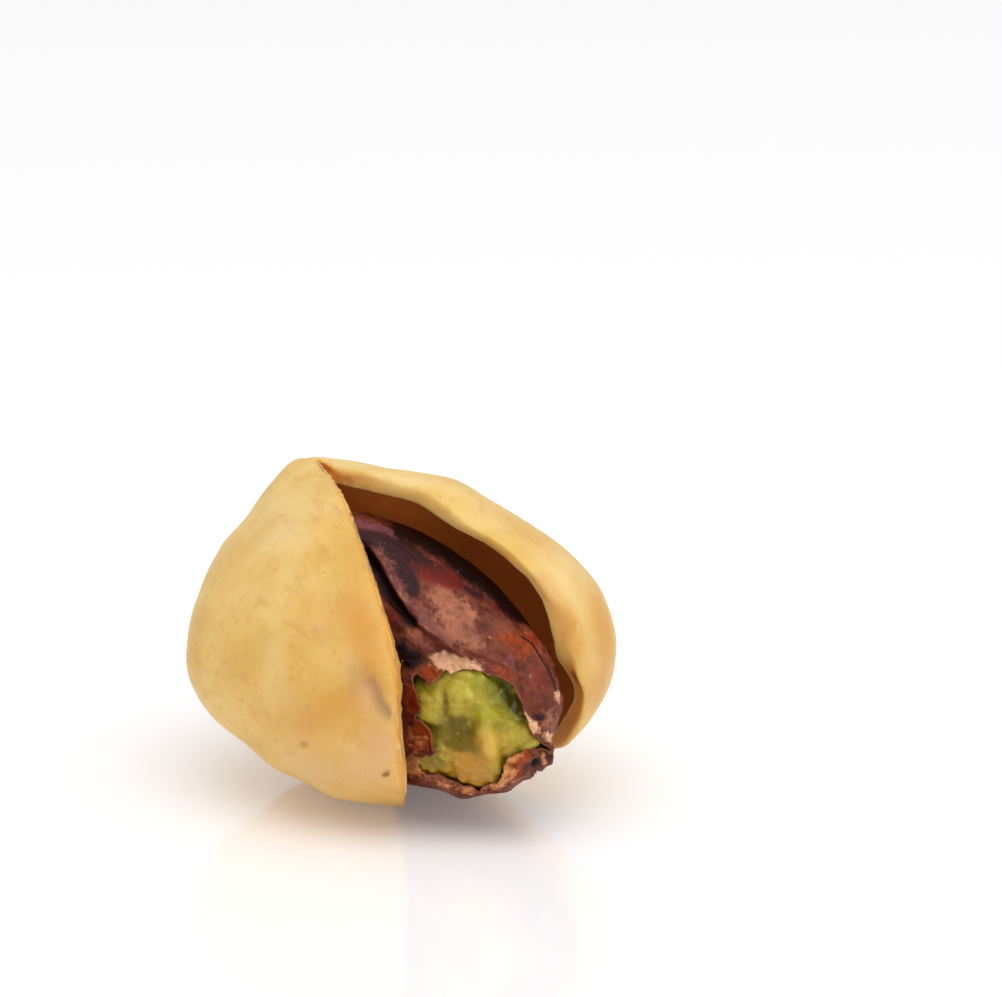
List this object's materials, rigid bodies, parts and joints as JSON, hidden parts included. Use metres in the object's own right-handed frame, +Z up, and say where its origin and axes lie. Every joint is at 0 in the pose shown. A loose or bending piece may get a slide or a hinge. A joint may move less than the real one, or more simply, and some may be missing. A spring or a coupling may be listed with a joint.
{
  "type": "pistachio in shell",
  "caption": "Open pistachio nut lying on its side: a split woody shell joined at the stem end, holding a seed whose papery skin is torn open on the green kernel.",
  "frame": {"origin": "on the surface the nut lies on, under the middle of its bounding box", "axes": "+Z up from that surface; +Y from the open tip to the stem end; +X towards the valve that stands further open"},
  "size_m": [0.016, 0.02, 0.0123],
  "materials": {
    "shell": "smooth satin, straw coloured",
    "skin": "papery, crimson to purple brown",
    "kernel": "waxy, yellow green"
  },
  "bodies": {
    "root": {"shell": "shell", "skin": "skin", "kernel": "kernel"}
  },
  "joints": []
}
